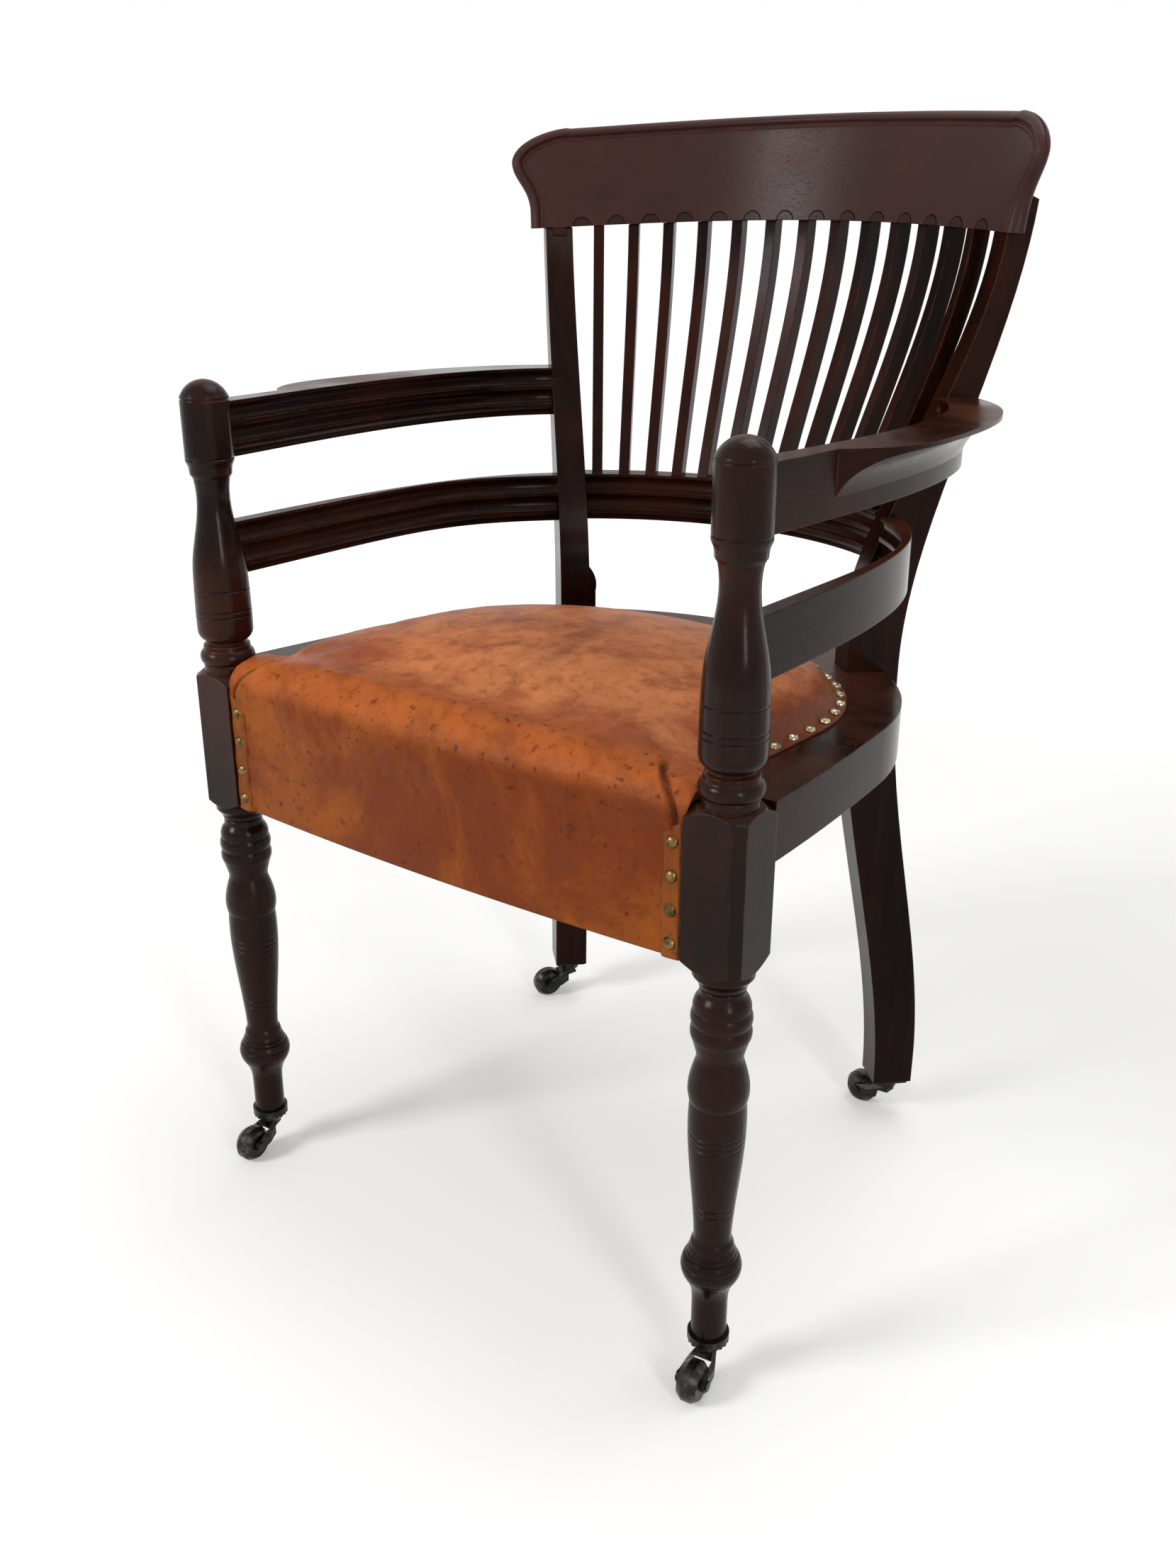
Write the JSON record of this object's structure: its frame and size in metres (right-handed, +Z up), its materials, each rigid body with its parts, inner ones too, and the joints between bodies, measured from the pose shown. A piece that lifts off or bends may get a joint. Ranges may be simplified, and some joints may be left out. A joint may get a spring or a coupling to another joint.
{
  "type": "library armchair",
  "caption": "Turned and moulded wooden library armchair with a curved slatted back, two tiers of arms, a stuffed leather seat with a nailed edge, and swivel casters.",
  "frame": {"origin": "on the floor under the middle of the chair's bounding box", "axes": "+Z up, -Y the way the sitter faces, +X the sitter's left"},
  "size_m": [0.5928, 0.5688, 0.9125],
  "materials": {
    "mahogany": "dark polished mahogany",
    "leather": "worn tan leather",
    "brass": "aged brass",
    "caster_iron": "black",
    "jute": "plain weave",
    "stuffing": "loose fibre"
  },
  "bodies": {
    "frame": {"apron_nails": "brass", "back_seat_rail": "mahogany", "back_slat_01": "mahogany", "back_slat_02": "mahogany", "back_slat_03": "mahogany", "back_slat_04": "mahogany", "back_slat_05": "mahogany", "back_slat_06": "mahogany", "back_slat_07": "mahogany", "back_slat_08": "mahogany", "back_slat_09": "mahogany", "back_slat_10": "mahogany", "back_slat_11": "mahogany", "back_slat_12": "mahogany", "back_slat_13": "mahogany", "caster_cup_front_left": "caster_iron", "caster_cup_front_right": "caster_iron", "caster_plate_rear_left": "caster_iron", "caster_plate_rear_right": "caster_iron", "corner_blocks": "mahogany", "crest_rail": "mahogany", "edge_nails": "brass", "front_post_left": "mahogany", "front_post_right": "mahogany", "front_seat_rail": "mahogany", "hessian": "jute", "leather_cover": "leather", "lower_arm_left": "mahogany", "lower_arm_right": "mahogany", "lower_back_rail": "mahogany", "rear_stile_left": "mahogany", "rear_stile_right": "mahogany", "seat_stuffing": "stuffing", "side_seat_rail_left": "mahogany", "side_seat_rail_right": "mahogany", "upper_arm_left": "mahogany", "upper_arm_right": "mahogany", "webbing": "jute"},
    "caster_front_left": {"caster_horn_front_left": "caster_iron", "caster_axle_front_left": "caster_iron"},
    "wheel_front_left": {"caster_wheel_front_left": "caster_iron"},
    "caster_front_right": {"caster_horn_front_right": "caster_iron", "caster_axle_front_right": "caster_iron"},
    "wheel_front_right": {"caster_wheel_front_right": "caster_iron"},
    "caster_rear_left": {"caster_horn_rear_left": "caster_iron", "caster_axle_rear_left": "caster_iron"},
    "wheel_rear_left": {"caster_wheel_rear_left": "caster_iron"},
    "caster_rear_right": {"caster_horn_rear_right": "caster_iron", "caster_axle_rear_right": "caster_iron"},
    "wheel_rear_right": {"caster_wheel_rear_right": "caster_iron"}
  },
  "joints": [
    {"name": "swivel_front_left", "type": "hinge", "parent": "frame", "child": "caster_front_left", "pos_m": [0.245, -0.24229, 0.036], "axis": [0, 0, 1], "continuous": true},
    {"name": "spin_front_left", "type": "hinge", "parent": "caster_front_left", "child": "wheel_front_left", "pos_m": [0.24862, -0.26803, 0.016], "axis": [0.9903, 0.1392, 0], "continuous": true},
    {"name": "swivel_front_right", "type": "hinge", "parent": "frame", "child": "caster_front_right", "pos_m": [-0.245, -0.24229, 0.036], "axis": [0, 0, 1], "continuous": true},
    {"name": "spin_front_right", "type": "hinge", "parent": "caster_front_right", "child": "wheel_front_right", "pos_m": [-0.24364, -0.26825, 0.016], "axis": [0.9986, 0.0523, 0], "continuous": true},
    {"name": "swivel_rear_left", "type": "hinge", "parent": "frame", "child": "caster_rear_left", "pos_m": [0.19711, 0.16086, 0.036], "axis": [0, 0, 1], "continuous": true},
    {"name": "spin_rear_left", "type": "hinge", "parent": "caster_rear_left", "child": "wheel_rear_left", "pos_m": [0.1715, 0.16538, 0.016], "axis": [-0.1736, -0.9848, 0], "continuous": true},
    {"name": "swivel_rear_right", "type": "hinge", "parent": "frame", "child": "caster_rear_right", "pos_m": [-0.19711, 0.16086, 0.036], "axis": [0, 0, 1], "continuous": true},
    {"name": "spin_rear_right", "type": "hinge", "parent": "caster_rear_right", "child": "wheel_rear_right", "pos_m": [-0.21127, 0.13906, 0.016], "axis": [0.8387, -0.5446, 0], "continuous": true}
  ]
}
